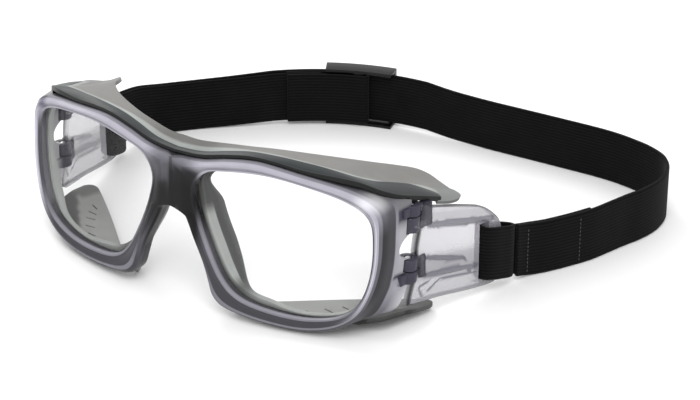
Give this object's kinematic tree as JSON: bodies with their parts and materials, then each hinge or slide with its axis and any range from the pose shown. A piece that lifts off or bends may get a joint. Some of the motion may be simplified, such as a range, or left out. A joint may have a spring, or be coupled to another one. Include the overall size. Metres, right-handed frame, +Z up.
{
  "type": "sports protective goggles",
  "caption": "Wrap-around protective goggles with a tinted frame, clear lenses, soft brow and cheek guards, short folding temples and an elastic head strap with a slider.",
  "frame": {"origin": "middle of the whole object's box in plan, on the surface that the goggles stand on", "axes": "+X across the face towards the wearer's left, +Y from the lenses back to the rear of the strap, +Z up"},
  "size_m": [0.1808, 0.148, 0.0541],
  "materials": {
    "frame": "translucent smoke grey, satin gloss",
    "lens": "clear polycarbonate",
    "temple": "clear moulded plastic with a faint violet tint",
    "soft_dark": "soft moulded, satin",
    "soft_grey": "soft moulded, matte",
    "pin": "plain steel wire",
    "strap": "ribbed elastic webbing, black",
    "slider": "moulded, satin black"
  },
  "bodies": {
    "front": {"front_frame": "frame", "left_lens": "lens", "right_lens": "lens", "left_eye_gasket": "soft_grey", "right_eye_gasket": "soft_grey", "left_cheek_guard": "soft_grey", "right_cheek_guard": "soft_grey", "nose_pad": "soft_dark", "brow_strip": "soft_dark", "brow_shield": "soft_grey", "left_upper_hinge_pin": "pin", "right_upper_hinge_pin": "pin", "left_lower_hinge_pin": "pin", "right_lower_hinge_pin": "pin", "strap_webbing": "strap", "strap_return": "strap", "strap_sewn_end": "strap"},
    "left_arm": {"left_temple": "temple", "left_strap_loop": "strap"},
    "right_arm": {"right_temple": "temple", "right_strap_loop": "strap"},
    "slider": {"strap_slider": "slider", "strap_end_loop": "strap"}
  },
  "joints": [
    {"name": "left_temple_fold", "type": "hinge", "parent": "front", "child": "left_arm", "pos_m": [0.05805, -0.0453, 0.0285], "axis": [0, 0.0728, 0.9973], "range_deg": [0, 100]},
    {"name": "right_temple_fold", "type": "hinge", "parent": "front", "child": "right_arm", "pos_m": [-0.07655, -0.0453, 0.0285], "axis": [0, -0.0728, -0.9973], "range_deg": [0, 100]},
    {"name": "slider_travel", "type": "hinge", "parent": "front", "child": "slider", "pos_m": [-0.00565, -0.0066, 0.01], "axis": [0, 0, 1], "range_deg": [-8, 8]}
  ]
}
